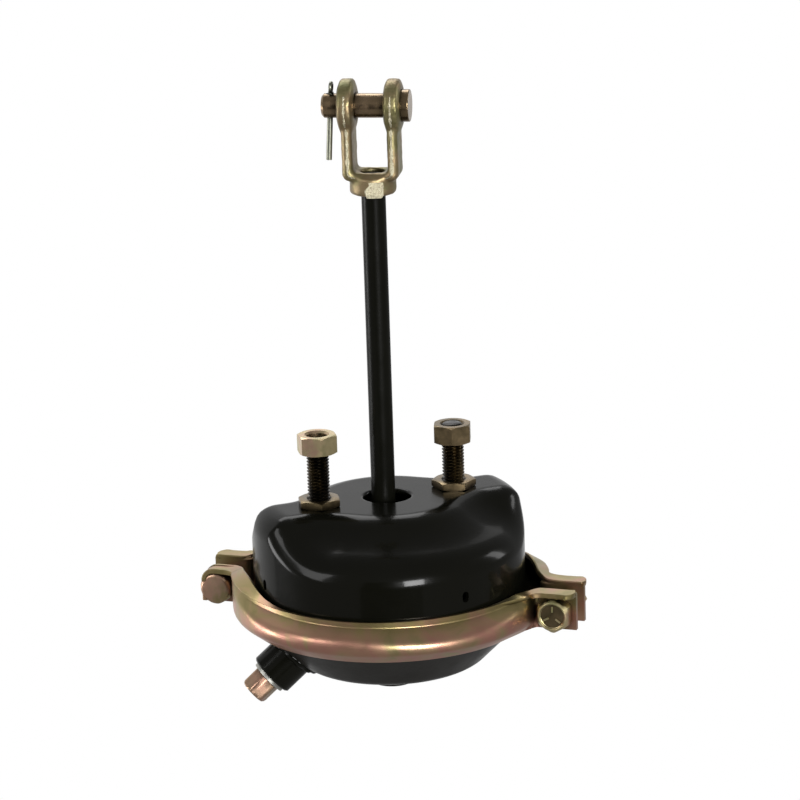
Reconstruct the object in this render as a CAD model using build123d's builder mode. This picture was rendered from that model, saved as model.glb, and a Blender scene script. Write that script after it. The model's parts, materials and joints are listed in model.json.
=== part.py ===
from build123d import *
import math
import os

os.makedirs("parts", exist_ok=True)

# Air brake chamber, in mm.
# Frame: origin on the chamber axis in the plane of the base nuts' top faces, where the
# mounting bracket rests. +Z runs along the push rod to the clevis, +X along the stud line.
# Engaged screw threads are drawn at the pitch cylinder, free threads at the major diameter.

# ---- sheet and housing above the clamp
SHEET = 3.0              # wall of both pressed housings
PLATEAU_Z = -4.2         # outer face of the mounting plateau
SKIRT_R = 72.3           # outer radius of the skirt
LEDGE_W = 17.8           # from the foot of the scoops out to the skirt
SCOOP_RUN = 14.2         # from the plateau's edge out to the foot of the scoops
EDGE_R = 3.5             # bend radius round the plateau
LEDGE_Z = -18.5          # outer face of the ledge at the foot of the scoops
LEDGE_DROP = 2.5         # fall of the ledge out to the skirt
SHOULDER_R = 12.0        # bend radius from ledge to skirt
LOBE_CORNER_R = 12.0     # bend radius from lobe top to skirt
LOBE_HALF = 15.5         # half width of each mounting lobe at the plateau
LOBE_LEAN = 42.0         # degrees each lobe side leans out from the vertical
FOOT_FILLET = 8.0        # concave bend at the foot of the scoops
RIDGE_FOOT_Z = -75.0     # the lobes' leaning sides are drawn down to here, then cut off
ROD_HOLE_R = 12.5
ROD_HOLE_EDGE = 1.2
VENT_W = 3.8
VENT_H = 5.8
VENT_Z = -41.7
VENT_AZIMUTHS = (-175.5, -77.8)

# ---- clamped joint
FLANGE_REACH = 7.5       # both flanges and the bead stand this far outside the skirt
RIM_FACE_Z = -59.5       # face of the upper flange that presses the bead
RIM_LAND = 1.0           # upright edge of each flange
BEAD = 3.5               # thickness of the diaphragm bead when clamped
UPPER_FALL = 0.66        # fall of the upper flange cone per mm of radius
LOWER_FALL = 0.78        # rise of the lower flange cone per mm of radius

# ---- bowl below the clamp
BOWL_Z = -94.7           # outer face of the bowl bottom
BOWL_INSET = 24.8        # the bowl's side meets its bottom this far inside the skirt
BOWL_CORNER_R = 15.0
BOWL_HIP_R = 4.0

# ---- diaphragm and push plate
WEB = 3.0                # diaphragm thickness
WEB_GAP = 0.3            # gap between diaphragm and bowl
PLATE_INSET = 8.8        # the plate's edge inside the foot of the bowl
PLATE_T = 4.0
PLATE_EDGE = 1.5

# ---- push rod and clevis
ROD_X = -2.0             # the rod stands a little off the chamber axis
ROD_R = 6.35
ROD_SHORT = 2.0          # the rod ends this far below the slot
ROD_CHAMFER = 1.2
PIN_Z = 206.0
PIN_TURN = -29.6         # azimuth of the clevis pin, degrees
RUN_GAP = 0.05           # radial running clearance
EYE_R = 14.0
EYE_FALL = 1.3           # the eyes' faces fall off by this towards the rim
EYE_FLAT_R = 10.5        # radius of the flat middle of each eye face
EYE_T = 8.8
EYE_GAP = 15.4           # gap between the eyes
ARM_GAP = 18.0           # gap between the arms
ARM_T = 5.7
ARM_DEPTH = 20.0
ARM_EDGE = 1.8
SLOT_BELOW = 33.9        # slot bottom below the pin
WEB_HEIGHT = 4.4
COLLAR_R = 12.1
COLLAR_H = 7.8
COLLAR_EDGE = 1.2
PIN_R = 6.35
PIN_HEAD_R = 8.4
PIN_HEAD_T = 4.0
PIN_TAIL = 8.6           # pin length beyond the left eye
PIN_CHAMFER = 1.2
END_FLOAT = 0.1
COTTER_R = 1.5
COTTER_HOLE_R = 2.05
COTTER_INSET = 4.2       # cotter axis from the pin's tail end
COTTER_LEAN = 3.5        # degrees
COTTER_BELOW = 28.5
COTTER_ABOVE = 7.2
COTTER_SLIT = 0.25
EYELET_R = 2.3
EYELET_WIRE = 0.95

# ---- mounting studs and nuts (M12)
STUD_SPACING = 76.2
STUD_R = 6.0
STUD_PITCH_R = 5.5
STUD_TOP_Z = 30.8
STUD_HEAD_R = 10.0
STUD_HEAD_T = 3.5
BASE_NUT_AF = 20.6
BASE_NUT_TURN = (17.0, -21.4)      # degrees, left and right
TOP_NUT_AF = 19.0
TOP_NUT_H = 10.0
TOP_NUT_Z = (24.8, 20.7)           # under face of the left and right nut
TOP_NUT_TURN = (23.4, 6.0)
COUNTERSINK = 1.1

# ---- clamp ring, in a frame whose X axis is the lug line
LUG_AZIMUTH = -40.0
CLAMP_T = 2.8
CLAMP_GROOVE = 1.4       # gap between the flange rims and the inside of the band
CLAMP_LIP_GAP = 1.9      # gap between the upper lip and the skirt
CLAMP_LIP_T = 1.6
CLAMP_LIP_Z = -49.4
CLAMP_LOWER_GAP = 3.2    # inside of the lower leg, outside the bowl's top
LUG_GAP = 12.0           # gap between the two ears of a lug
EAR_BEND = 2.0           # outer bend from band to ear
EAR_REACH = (18.2, 21.8) # from the band's outside to the ear's end, left and right lug
EAR_TOP_Z = -46.8
EAR_BOTTOM_Z = -67.8
EAR_FLANGE = 7.0
EAR_CORNER = 4.0
BOLT_REACH = 10.6        # from the band's outside to the bolt
BOLT_Z = -59.0
BOLT_R = 5.0
BOLT_PITCH_R = 4.5
BOLT_HOLE_R = 5.5
BOLT_AF = 17.0
BOLT_HEAD_T = 6.8
BOLT_NUT_T = 8.4
BOLT_PROUD = 3.0         # thread past the nut

# ---- air ports
BOSS_R = 12.2
PORT_AZIMUTH = 170.0
PORT_DIP = 41.0
PORT_INSET = 6.2         # the side boss's face centre stands this far inside the skirt
PORT_DROP = 3.9          # and this far below the bowl's bottom
PORT_PITCH_R = 5.5       # M12 plug thread
BOSS_DEPTH = 22.0
INLET_R = 7.3            # M16 inlet thread, drawn at its core
INLET_DROP = 12.8        # height of the inlet boss below the bowl
BOSS_EDGE = 0.8
WASHER_R = 9.7
WASHER_T = 2.0
PLUG_AF = 14.0
PLUG_HEAD_T = 11.5
PLUG_SHANK = 10.0

# ---- return spring
COIL_WIRE_R = 2.4
COIL_LOW_INSET = 2.7     # the first turn's centre line inside the plate's edge
COIL_HIGH_R = 21.0
COIL_TURNS = 6.0
COIL_DEAD = 0.4          # turns lying flat at each end
COIL_SEAT_GAP = 0.05

FAR = 200.0
SCOOP_FOOT_R = SKIRT_R - LEDGE_W
PLATEAU_R = SCOOP_FOOT_R - SCOOP_RUN
RIM_R = SKIRT_R + FLANGE_REACH
BOWL_FOOT_R = SKIRT_R - BOWL_INSET
PLATE_R = BOWL_FOOT_R - PLATE_INSET
COIL_LOW_R = PLATE_R - COIL_LOW_INSET
PORT_FACE_R = SKIRT_R - PORT_INSET
PORT_FACE_Z = BOWL_Z - PORT_DROP
INLET_FACE_Z = BOWL_Z - INLET_DROP
INNER_TOP_Z = PLATEAU_Z - SHEET
BOWL_FLOOR_Z = BOWL_Z + SHEET
WEB_BOTTOM_Z = BOWL_FLOOR_Z + WEB_GAP
PLATE_Z = WEB_BOTTOM_Z + WEB
PLATE_TOP_Z = PLATE_Z + PLATE_T
LOWER_FACE_Z = RIM_FACE_Z - BEAD
SLOT_Z = PIN_Z - SLOT_BELOW
ROD_TOP_Z = SLOT_Z - ROD_SHORT
COLLAR_Z = SLOT_Z - WEB_HEIGHT - COLLAR_H


def upper_cone_z(radius):
    """Outer face of the upper flange, which the clamp's upper leg sits on."""
    return RIM_FACE_Z + RIM_LAND + UPPER_FALL * (RIM_R - radius)


def lower_cone_z(radius):
    """Outer face of the lower flange, which the clamp's lower leg sits under."""
    return LOWER_FACE_Z - RIM_LAND - LOWER_FALL * (RIM_R - radius)


def mirrored(points):
    """The right half of an outline with its mirror image about the chamber axis."""
    return points + [(-x, y) for x, y in reversed(points)]


def round_corner(sketch, corner, radius):
    """Round the sketch's corner at a point and its mirror image."""
    for x in (corner[0], -corner[0]):
        fillet(sketch.vertices().sort_by_distance(Vector(x, corner[1]))[0], radius)


def spun(outline, corners, inset, low, high):
    """Solid of revolution of a mirrored outline moved inwards, kept between two heights."""
    with BuildPart() as solid:
        with BuildSketch(Plane.XZ) as section:
            with BuildLine():
                Polyline(*mirrored(outline), close=True)
            make_face()
            for corner, radius in corners:
                round_corner(section, corner, radius)
            if inset > 0:
                offset(amount=-inset, kind=Kind.INTERSECTION)
            with Locations((FAR / 2, (low + high) / 2)):
                Rectangle(FAR, high - low, mode=Mode.INTERSECT)
        revolve(axis=Axis.Z)
    return solid.part


def can_block(inset):
    """Stepped can with the scooped ledge all the way round."""
    ledge_end = (SKIRT_R, LEDGE_Z - LEDGE_DROP)
    outline = [
        (RIM_R, -FAR),
        (RIM_R, RIM_FACE_Z + RIM_LAND),
        (SKIRT_R, upper_cone_z(SKIRT_R)),
        ledge_end,
        (SCOOP_FOOT_R, LEDGE_Z),
        (PLATEAU_R, PLATEAU_Z),
    ]
    corners = [
        (ledge_end, SHOULDER_R),
        ((SCOOP_FOOT_R, LEDGE_Z), FOOT_FILLET),
        ((PLATEAU_R, PLATEAU_Z), EDGE_R),
        ((SKIRT_R, upper_cone_z(SKIRT_R)), SHEET),
    ]
    return spun(outline, corners, inset, RIM_FACE_Z, PLATEAU_Z)


def full_block(inset):
    """Plain can at full height, which bounds the two lobes."""
    outline = [
        (RIM_R, -FAR),
        (RIM_R, RIM_FACE_Z + RIM_LAND),
        (SKIRT_R, upper_cone_z(SKIRT_R)),
        (SKIRT_R, PLATEAU_Z),
    ]
    corners = [
        ((SKIRT_R, PLATEAU_Z), LOBE_CORNER_R),
        ((SKIRT_R, upper_cone_z(SKIRT_R)), SHEET),
    ]
    return spun(outline, corners, inset, RIM_FACE_Z, PLATEAU_Z)


def lobe_block(inset):
    """Ridge along X with leaning sides, cut to the full can."""
    depth = PLATEAU_Z - RIDGE_FOOT_Z
    foot = LOBE_HALF + depth * math.tan(math.radians(LOBE_LEAN))
    bound = full_block(inset)
    with BuildPart() as ridge:
        with BuildSketch(Plane.YZ) as section:
            with BuildLine():
                Polyline(
                    (-foot, RIDGE_FOOT_Z), (foot, RIDGE_FOOT_Z),
                    (LOBE_HALF, PLATEAU_Z), (-LOBE_HALF, PLATEAU_Z), close=True,
                )
            make_face()
            top_corners = section.vertices().group_by(Axis.Y)[-1]
            chamfer(top_corners, EDGE_R / 2)
            if inset > 0:
                offset(amount=-inset, kind=Kind.INTERSECTION)
        extrude(amount=FAR, both=True)
        add(bound, mode=Mode.INTERSECT)
    return ridge.part


def upper_block(inset):
    """Outer skin of the upper housing moved inwards."""
    can = can_block(inset)
    lobes = lobe_block(inset)
    with BuildPart() as block:
        add(can)
        add(lobes)
    return block.part


def bowl_block(inset, high):
    """Outer skin of the bowl moved inwards."""
    hip = (SKIRT_R, lower_cone_z(SKIRT_R))
    outline = [
        (BOWL_FOOT_R, BOWL_Z),
        hip,
        (RIM_R, LOWER_FACE_Z - RIM_LAND),
        (RIM_R, FAR),
    ]
    corners = [((BOWL_FOOT_R, BOWL_Z), BOWL_CORNER_R), (hip, BOWL_HIP_R)]
    return spun(outline, corners, inset, BOWL_Z, high)


def hex_nut(across_flats, height, bore_r, turn):
    """Hexagon nut standing on z = 0, corners chamfered at both ends, bore countersunk."""
    with BuildPart() as nut:
        with BuildSketch(Plane.XY):
            RegularPolygon(radius=across_flats / 2, side_count=6, major_radius=False, rotation=turn)
        extrude(amount=height)
        corner_r = across_flats / math.sqrt(3)
        rise = (corner_r - across_flats / 2) * 0.5
        with BuildSketch(Plane.XZ):
            with BuildLine():
                Polyline(
                    (0, 0), (across_flats / 2, 0), (corner_r + 0.1, rise),
                    (corner_r + 0.1, height - rise), (across_flats / 2, height), (0, height),
                    close=True,
                )
            make_face()
        revolve(axis=Axis.Z, mode=Mode.INTERSECT)
        if bore_r > 0:
            with BuildSketch(Plane.XY):
                Circle(bore_r)
            extrude(amount=height, mode=Mode.SUBTRACT)
            bore_rims = nut.edges().filter_by(GeomType.CIRCLE)
            chamfer(bore_rims.filter_by(lambda e: e.radius < bore_r + 0.01), COUNTERSINK)
    return nut.part


PORT_OUT = Vector(
    math.cos(math.radians(PORT_AZIMUTH)) * math.cos(math.radians(PORT_DIP)),
    math.sin(math.radians(PORT_AZIMUTH)) * math.cos(math.radians(PORT_DIP)),
    -math.sin(math.radians(PORT_DIP)),
)
PORT_FACE = Plane(
    origin=(
        PORT_FACE_R * math.cos(math.radians(PORT_AZIMUTH)),
        PORT_FACE_R * math.sin(math.radians(PORT_AZIMUTH)),
        PORT_FACE_Z,
    ),
    z_dir=PORT_OUT,
)

# ================ upper, non-pressure housing ================
upper_outside = upper_block(0)
upper_inside = upper_block(SHEET)
with BuildPart() as non_pressure_housing:
    add(upper_outside)
    add(upper_inside, mode=Mode.SUBTRACT)
    with BuildSketch(Plane.XY.offset(INNER_TOP_Z)):
        Circle(ROD_HOLE_R)
        with GridLocations(STUD_SPACING, 0, 2, 1):
            Circle(STUD_PITCH_R)
    extrude(amount=SHEET, mode=Mode.SUBTRACT)
    hole_rims = non_pressure_housing.edges().filter_by(GeomType.CIRCLE)
    hole_rims = hole_rims.filter_by(lambda e: abs(e.radius - ROD_HOLE_R) < 0.01)
    fillet(hole_rims, ROD_HOLE_EDGE)
    for azimuth in VENT_AZIMUTHS:
        out = Vector(math.cos(math.radians(azimuth)), math.sin(math.radians(azimuth)), 0)
        with BuildSketch(Plane(origin=out * SKIRT_R * 0.5 + Vector(0, 0, VENT_Z), z_dir=out)):
            SlotOverall(VENT_H, VENT_W, rotation=90)
        extrude(amount=SKIRT_R, mode=Mode.SUBTRACT)
non_pressure_housing.part.label = "non_pressure_housing"
export_step(non_pressure_housing.part, "parts/non_pressure_housing.step")

# ================ lower, pressure housing ================
bowl_outside = bowl_block(0, LOWER_FACE_Z)
bowl_inside = bowl_block(SHEET, LOWER_FACE_Z)
with BuildPart() as pressure_housing:
    add(bowl_outside)
    add(bowl_inside, mode=Mode.SUBTRACT)
    with BuildSketch(Plane.XY.offset(BOWL_Z)):
        Circle(INLET_R)
    extrude(amount=SHEET, mode=Mode.SUBTRACT)
    with BuildSketch(PORT_FACE):
        Circle(PORT_PITCH_R)
    extrude(amount=-BOSS_DEPTH, mode=Mode.SUBTRACT)
pressure_housing.part.label = "pressure_housing"
export_step(pressure_housing.part, "parts/pressure_housing.step")

# ================ side port: boss, washer and plug ================
with BuildPart() as side_port_boss:
    with BuildSketch(PORT_FACE):
        Circle(BOSS_R)
    extrude(amount=-BOSS_DEPTH)
    boss_rims = side_port_boss.edges().filter_by(GeomType.CIRCLE)
    chamfer(boss_rims.sort_by_distance(PORT_FACE.origin)[0], BOSS_EDGE)
    with BuildSketch(PORT_FACE):
        Circle(PORT_PITCH_R)
    extrude(amount=-BOSS_DEPTH, mode=Mode.SUBTRACT)
    add(bowl_outside, mode=Mode.SUBTRACT)
side_port_boss.part.label = "side_port_boss"
export_step(side_port_boss.part, "parts/side_port_boss.step")

with BuildPart() as plug_washer:
    with BuildSketch(PORT_FACE):
        Circle(WASHER_R)
        Circle(PORT_PITCH_R, mode=Mode.SUBTRACT)
    extrude(amount=WASHER_T)
plug_washer.part.label = "plug_washer"
export_step(plug_washer.part, "parts/plug_washer.step")

with BuildPart() as port_plug:
    with BuildSketch(PORT_FACE.offset(WASHER_T)):
        RegularPolygon(radius=PLUG_AF / 2, side_count=6, major_radius=False, rotation=10)
    extrude(amount=PLUG_HEAD_T)
    with BuildSketch(PORT_FACE.offset(WASHER_T)):
        Circle(PORT_PITCH_R)
    extrude(amount=-(WASHER_T + PLUG_SHANK))
port_plug.part.label = "port_plug"
export_step(port_plug.part, "parts/port_plug.step")

# ================ inlet boss under the bowl ================
with BuildPart() as inlet_boss:
    with BuildSketch(Plane.XY.offset(INLET_FACE_Z)):
        Circle(BOSS_R)
        Circle(INLET_R, mode=Mode.SUBTRACT)
    extrude(amount=BOWL_Z - INLET_FACE_Z)
    chamfer(inlet_boss.faces().sort_by(Axis.Z)[0].edges(), BOSS_EDGE)
inlet_boss.part.label = "inlet_boss"
export_step(inlet_boss.part, "parts/inlet_boss.step")

# ================ diaphragm ================
web_outside = bowl_block(SHEET + WEB_GAP, LOWER_FACE_Z)
web_inside = bowl_block(SHEET + WEB_GAP + WEB, RIM_FACE_Z)
with BuildPart() as diaphragm:
    add(web_outside)
    with BuildSketch(Plane.XY.offset(LOWER_FACE_Z)):
        Circle(RIM_R)
    extrude(amount=BEAD)
    add(web_inside, mode=Mode.SUBTRACT)
diaphragm.part.label = "diaphragm"
export_step(diaphragm.part, "parts/diaphragm.step")

# ================ push plate and push rod ================
with BuildPart() as push_plate:
    with BuildSketch(Plane.XY.offset(PLATE_Z)):
        with Locations((ROD_X, 0)):
            Circle(PLATE_R)
    extrude(amount=PLATE_T)
    fillet(push_plate.edges(), PLATE_EDGE)
push_plate.part.label = "push_plate"
export_step(push_plate.part, "parts/push_plate.step")

with BuildPart() as push_rod:
    with BuildSketch(Plane.XY.offset(PLATE_TOP_Z)):
        with Locations((ROD_X, 0)):
            Circle(ROD_R)
    extrude(amount=ROD_TOP_Z - PLATE_TOP_Z)
    chamfer(push_rod.edges().sort_by(Axis.Z)[-1], ROD_CHAMFER)
push_rod.part.label = "push_rod"
export_step(push_rod.part, "parts/push_rod.step")

# ================ return spring ================
COIL_Z = (PLATE_TOP_Z + COIL_WIRE_R + COIL_SEAT_GAP, INNER_TOP_Z - COIL_WIRE_R - COIL_SEAT_GAP)


def coil_point(turn):
    """Centre of the spring wire after a number of turns from the push plate."""
    share = (turn - COIL_DEAD) / (COIL_TURNS - 2 * COIL_DEAD)
    share = min(max(share, 0), 1)
    radius = COIL_LOW_R + (COIL_HIGH_R - COIL_LOW_R) * share
    angle = 2 * math.pi * turn
    height = COIL_Z[0] + (COIL_Z[1] - COIL_Z[0]) * share
    return (ROD_X + radius * math.cos(angle), radius * math.sin(angle), height)


with BuildLine() as coil_path:
    Spline(*[coil_point(step / 12) for step in range(round(COIL_TURNS * 12) + 1)])
with BuildPart() as return_spring:
    with BuildSketch(Plane(origin=coil_path.line @ 0, z_dir=coil_path.line % 0)):
        Circle(COIL_WIRE_R)
    sweep(path=coil_path.line)
return_spring.part.label = "return_spring"
export_step(return_spring.part, "parts/return_spring.step")

# ================ mounting studs with base nuts and top nuts ================
for side, x, nut_z, base_turn, top_turn in (
    ("left", -STUD_SPACING / 2, TOP_NUT_Z[0], BASE_NUT_TURN[0], TOP_NUT_TURN[0]),
    ("right", STUD_SPACING / 2, TOP_NUT_Z[1], BASE_NUT_TURN[1], TOP_NUT_TURN[1]),
):
    with BuildPart() as stud:
        with BuildSketch(Plane.XY.offset(INNER_TOP_Z - STUD_HEAD_T)):
            with Locations((x, 0)):
                Circle(STUD_HEAD_R)
        extrude(amount=STUD_HEAD_T)
        chamfer(stud.edges().sort_by(Axis.Z)[0], STUD_HEAD_T / 4)
        with BuildSketch(Plane.XY.offset(INNER_TOP_Z)):
            with Locations((x, 0)):
                Circle(STUD_PITCH_R)
        extrude(amount=STUD_TOP_Z - INNER_TOP_Z)
        chamfer(stud.edges().sort_by(Axis.Z)[-1], STUD_PITCH_R / 8)
        with BuildSketch(Plane.XY):
            with Locations((x, 0)):
                Circle(STUD_R)
        extrude(amount=nut_z)
    stud.part.label = "stud_" + side
    export_step(stud.part, "parts/stud_" + side + ".step")

    low_hexagon = hex_nut(BASE_NUT_AF, -PLATEAU_Z, STUD_PITCH_R, base_turn)
    with BuildPart() as base_nut:
        with Locations((x, 0, PLATEAU_Z)):
            add(low_hexagon)
    base_nut.part.label = "base_nut_" + side
    export_step(base_nut.part, "parts/base_nut_" + side + ".step")

    high_hexagon = hex_nut(TOP_NUT_AF, TOP_NUT_H, STUD_PITCH_R, top_turn)
    with BuildPart() as top_nut:
        with Locations((x, 0, nut_z)):
            add(high_hexagon)
    top_nut.part.label = "stud_nut_" + side
    export_step(top_nut.part, "parts/stud_nut_" + side + ".step")

# ================ clamp ring halves ================
WALL_IN_R = RIM_R + CLAMP_GROOVE
WALL_OUT_R = WALL_IN_R + CLAMP_T
UPPER_SKIN = CLAMP_T * math.hypot(1, UPPER_FALL)
LOWER_SKIN = CLAMP_T * math.hypot(1, LOWER_FALL)
CLAMP_LIP_R = SKIRT_R + CLAMP_LIP_GAP
CLAMP_LOWER_R = SKIRT_R + CLAMP_LOWER_GAP
CLAMP_FOOT_Z = lower_cone_z(WALL_OUT_R) - LOWER_SKIN
EAR_ENDS = (WALL_OUT_R + EAR_REACH[0], WALL_OUT_R + EAR_REACH[1])
BOLT_X = WALL_OUT_R + BOLT_REACH
LIP_OUT_R = CLAMP_LIP_R + CLAMP_LIP_T
EAR_FACE = LUG_GAP / 2
BEND_IN_R = EAR_BEND + CLAMP_T
BEND_Y = EAR_FACE + BEND_IN_R
BEND_X = math.sqrt((WALL_OUT_R + EAR_BEND) ** 2 - BEND_Y ** 2)
BAND_START = math.degrees(math.atan2(BEND_Y, BEND_X))


def band_outline():
    """Section of the clamp band, radius by height."""
    return [
        (CLAMP_LIP_R, CLAMP_LIP_Z),
        (LIP_OUT_R, CLAMP_LIP_Z),
        (LIP_OUT_R, upper_cone_z(LIP_OUT_R) + UPPER_SKIN),
        (WALL_OUT_R, upper_cone_z(WALL_OUT_R) + UPPER_SKIN),
        (WALL_OUT_R, CLAMP_FOOT_Z),
        (CLAMP_LOWER_R, lower_cone_z(CLAMP_LOWER_R) - LOWER_SKIN),
        (CLAMP_LOWER_R, lower_cone_z(CLAMP_LOWER_R)),
        (WALL_IN_R, lower_cone_z(WALL_IN_R)),
        (WALL_IN_R, upper_cone_z(WALL_IN_R)),
        (CLAMP_LIP_R, upper_cone_z(CLAMP_LIP_R)),
    ]


def clamp_half(turn, ear_ends):
    """Half of the clamp ring on the -Y side of the lug line, then turned about the axis."""
    start = math.radians(180 + BAND_START)
    with BuildPart() as half:
        section_plane = Plane(
            origin=(0, 0, 0),
            x_dir=(math.cos(start), math.sin(start), 0),
            z_dir=(math.sin(start), -math.cos(start), 0),
        )
        with BuildSketch(section_plane) as section:
            with BuildLine():
                Polyline(*band_outline(), close=True)
            make_face()
            fillet(section.vertices().sort_by_distance(Vector(WALL_OUT_R, CLAMP_FOOT_Z))[0], 2)
            top_corner = Vector(WALL_OUT_R, upper_cone_z(WALL_OUT_R) + UPPER_SKIN)
            fillet(section.vertices().sort_by_distance(top_corner)[0], 1)
        revolve(axis=Axis.Z, revolution_arc=180 - 2 * BAND_START)
        for side, ear_end in zip((-1, 1), ear_ends):
            bend_centre = (side * BEND_X, -BEND_Y)
            with BuildSketch(Plane.XY.offset(EAR_BOTTOM_Z)):
                with Locations(bend_centre):
                    Circle(BEND_IN_R)
                    Circle(EAR_BEND, mode=Mode.SUBTRACT)
                with BuildLine():
                    Polyline(
                        bend_centre,
                        (0, 0),
                        (side * BEND_X, 0),
                        close=True,
                    )
                make_face(mode=Mode.INTERSECT)
                with BuildLine():
                    Polyline(
                        (side * BEND_X, -EAR_FACE),
                        (side * ear_end, -EAR_FACE),
                        (side * ear_end, -EAR_FACE - CLAMP_T),
                        (side * BEND_X, -EAR_FACE - CLAMP_T),
                        close=True,
                    )
                make_face()
            extrude(amount=EAR_TOP_Z - EAR_BOTTOM_Z)
            with BuildSketch(Plane.XY.offset(EAR_TOP_Z - CLAMP_T)) as flange:
                with BuildLine():
                    Polyline(
                        (side * BEND_X, -EAR_FACE),
                        (side * ear_end, -EAR_FACE),
                        (side * ear_end, -EAR_FACE - CLAMP_T - EAR_FLANGE),
                        (side * (WALL_OUT_R - 1), -EAR_FACE - CLAMP_T - EAR_FLANGE),
                        (side * (WALL_OUT_R - 1), -BEND_Y),
                        close=True,
                    )
                make_face()
                tip = Vector(side * ear_end, -EAR_FACE - CLAMP_T - EAR_FLANGE)
                fillet(flange.vertices().sort_by_distance(tip)[0], EAR_CORNER)
            extrude(amount=CLAMP_T)
            with BuildSketch(Plane.XZ.offset(EAR_FACE)):
                with Locations((side * BOLT_X, BOLT_Z)):
                    Circle(BOLT_HOLE_R)
            extrude(amount=CLAMP_T, mode=Mode.SUBTRACT)
    with BuildPart() as placed:
        add(half.part, rotation=(0, 0, turn))
    return placed.part


front_half = clamp_half(LUG_AZIMUTH, EAR_ENDS)
with BuildPart() as clamp_front:
    add(front_half)
clamp_front.part.label = "clamp_front"
export_step(clamp_front.part, "parts/clamp_front.step")

rear_half = clamp_half(LUG_AZIMUTH + 180, EAR_ENDS[::-1])
with BuildPart() as clamp_rear:
    add(rear_half)
clamp_rear.part.label = "clamp_rear"
export_step(clamp_rear.part, "parts/clamp_rear.step")

# ================ clamp bolts and nuts ================
SEAT_Y = EAR_FACE + CLAMP_T
for side, x in (("left", -BOLT_X), ("right", BOLT_X)):
    head = hex_nut(BOLT_AF, BOLT_HEAD_T, 0, 0)
    with BuildPart() as bolt_upright:
        add(head)
        with BuildSketch(Plane.XY):
            Circle(BOLT_R)
        extrude(amount=-2 * SEAT_Y)
        with BuildSketch(Plane.XY.offset(-2 * SEAT_Y)):
            Circle(BOLT_PITCH_R)
        extrude(amount=-BOLT_NUT_T)
        with BuildSketch(Plane.XY.offset(-2 * SEAT_Y - BOLT_NUT_T)):
            Circle(BOLT_R)
        extrude(amount=-BOLT_PROUD)
        chamfer(bolt_upright.edges().sort_by(Axis.Z)[0], BOLT_R / 6)
    with BuildPart() as bolt_lying:
        with Locations((x, -SEAT_Y, BOLT_Z)):
            add(bolt_upright.part, rotation=(90, 0, 0))
    with BuildPart() as bolt:
        add(bolt_lying.part, rotation=(0, 0, LUG_AZIMUTH))
    bolt.part.label = "clamp_bolt_" + side
    export_step(bolt.part, "parts/clamp_bolt_" + side + ".step")

    hexagon = hex_nut(BOLT_AF, BOLT_NUT_T, BOLT_PITCH_R, 0)
    with BuildPart() as nut_lying:
        with Locations((x, SEAT_Y + BOLT_NUT_T, BOLT_Z)):
            add(hexagon, rotation=(90, 0, 0))
    with BuildPart() as bolt_nut:
        add(nut_lying.part, rotation=(0, 0, LUG_AZIMUTH))
    bolt_nut.part.label = "clamp_nut_" + side
    export_step(bolt_nut.part, "parts/clamp_nut_" + side + ".step")

# ================ clevis, with its pin along X until it is turned ================
ARM_OUT = ARM_GAP / 2 + ARM_T
EYE_IN = EYE_GAP / 2
EYE_OUT = EYE_IN + EYE_T
with BuildPart() as clevis_square:
    with BuildSketch(Plane.XZ) as front_view:
        with BuildLine():
            Polyline(
                *mirrored([
                    (ARM_OUT, SLOT_Z - WEB_HEIGHT),
                    (ARM_OUT, PIN_Z),
                    (ARM_GAP / 2, PIN_Z),
                    (ARM_GAP / 2, SLOT_Z),
                ]),
                close=True,
            )
        make_face()
        round_corner(front_view, (ARM_OUT, SLOT_Z - WEB_HEIGHT), WEB_HEIGHT - 0.5)
        round_corner(front_view, (ARM_GAP / 2, SLOT_Z), 2)
    extrude(amount=ARM_DEPTH / 2, both=True)
    fork_faces = clevis_square.faces().filter_by(Axis.Y)
    chamfer(fork_faces.edges(), ARM_EDGE)
    with BuildSketch(Plane.XZ):
        for side in (-1, 1):
            with BuildLine():
                Polyline(
                    (side * EYE_IN, PIN_Z),
                    (side * EYE_IN, PIN_Z + EYE_FLAT_R),
                    (side * (EYE_IN + EYE_FALL), PIN_Z + EYE_R),
                    (side * (EYE_OUT - EYE_FALL), PIN_Z + EYE_R),
                    (side * EYE_OUT, PIN_Z + EYE_FLAT_R),
                    (side * EYE_OUT, PIN_Z),
                    close=True,
                )
            make_face()
    revolve(axis=Axis((0, 0, PIN_Z), (1, 0, 0)))
    with BuildSketch(Plane.YZ.offset(-EYE_OUT)):
        with Locations((0, PIN_Z)):
            Circle(PIN_R + RUN_GAP)
    extrude(amount=2 * EYE_OUT, mode=Mode.SUBTRACT)
    with BuildSketch(Plane.XY.offset(COLLAR_Z)):
        Circle(COLLAR_R)
    extrude(amount=COLLAR_H + WEB_HEIGHT / 2)
    chamfer(clevis_square.edges().sort_by(Axis.Z)[0], COLLAR_EDGE)
    with BuildSketch(Plane.XY.offset(COLLAR_Z)):
        Circle(ROD_R + RUN_GAP)
    extrude(amount=COLLAR_H + WEB_HEIGHT, mode=Mode.SUBTRACT)
with BuildPart() as clevis:
    with Locations((ROD_X, 0, 0)):
        add(clevis_square.part, rotation=(0, 0, PIN_TURN))
clevis.part.label = "clevis"
export_step(clevis.part, "parts/clevis.step")

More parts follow.
